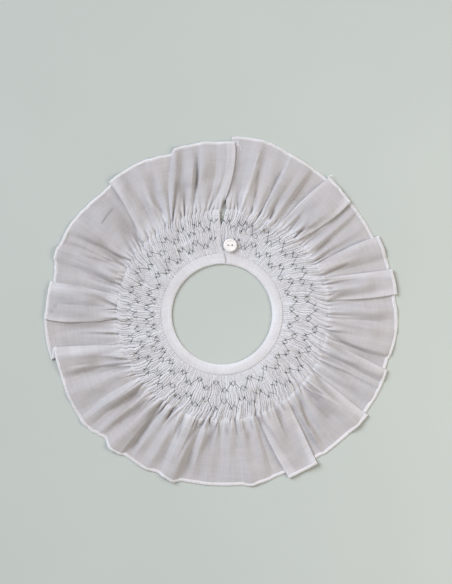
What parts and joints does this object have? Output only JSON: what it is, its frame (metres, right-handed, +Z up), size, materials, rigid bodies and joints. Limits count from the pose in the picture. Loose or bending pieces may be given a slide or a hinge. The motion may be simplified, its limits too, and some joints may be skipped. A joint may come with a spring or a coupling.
{
  "type": "embroidered collar",
  "caption": "Round child's collar of white lawn, laid flat: narrow neckband, smocked yoke, full ruffle with a rolled hem, and a button at the back opening.",
  "frame": {"origin": "middle of the collar's outline, on the surface it lies on; the neck opening's centre is about 0.8 mm to +X and 2.5 mm to -Y of it", "axes": "+Z up, out of the surface, towards the collar's right side; +Y towards the back opening and its button, +X to the right of the opening seen from above"},
  "size_m": [0.303, 0.2996, 0.0061],
  "materials": {
    "white_lawn": "fine plain-woven white cotton lawn, matt and slightly see-through where it lies single",
    "shell": "polished white mother-of-pearl, with a soft gloss",
    "white_thread": "white cotton sewing thread",
    "grey_thread": "stranded cotton embroidery thread, dark grey green with a slight sheen"
  },
  "bodies": {
    "root": {"neckband": "white_lawn", "smocked_yoke": "white_lawn", "ruffle": "white_lawn", "button": "shell"}
  },
  "joints": []
}
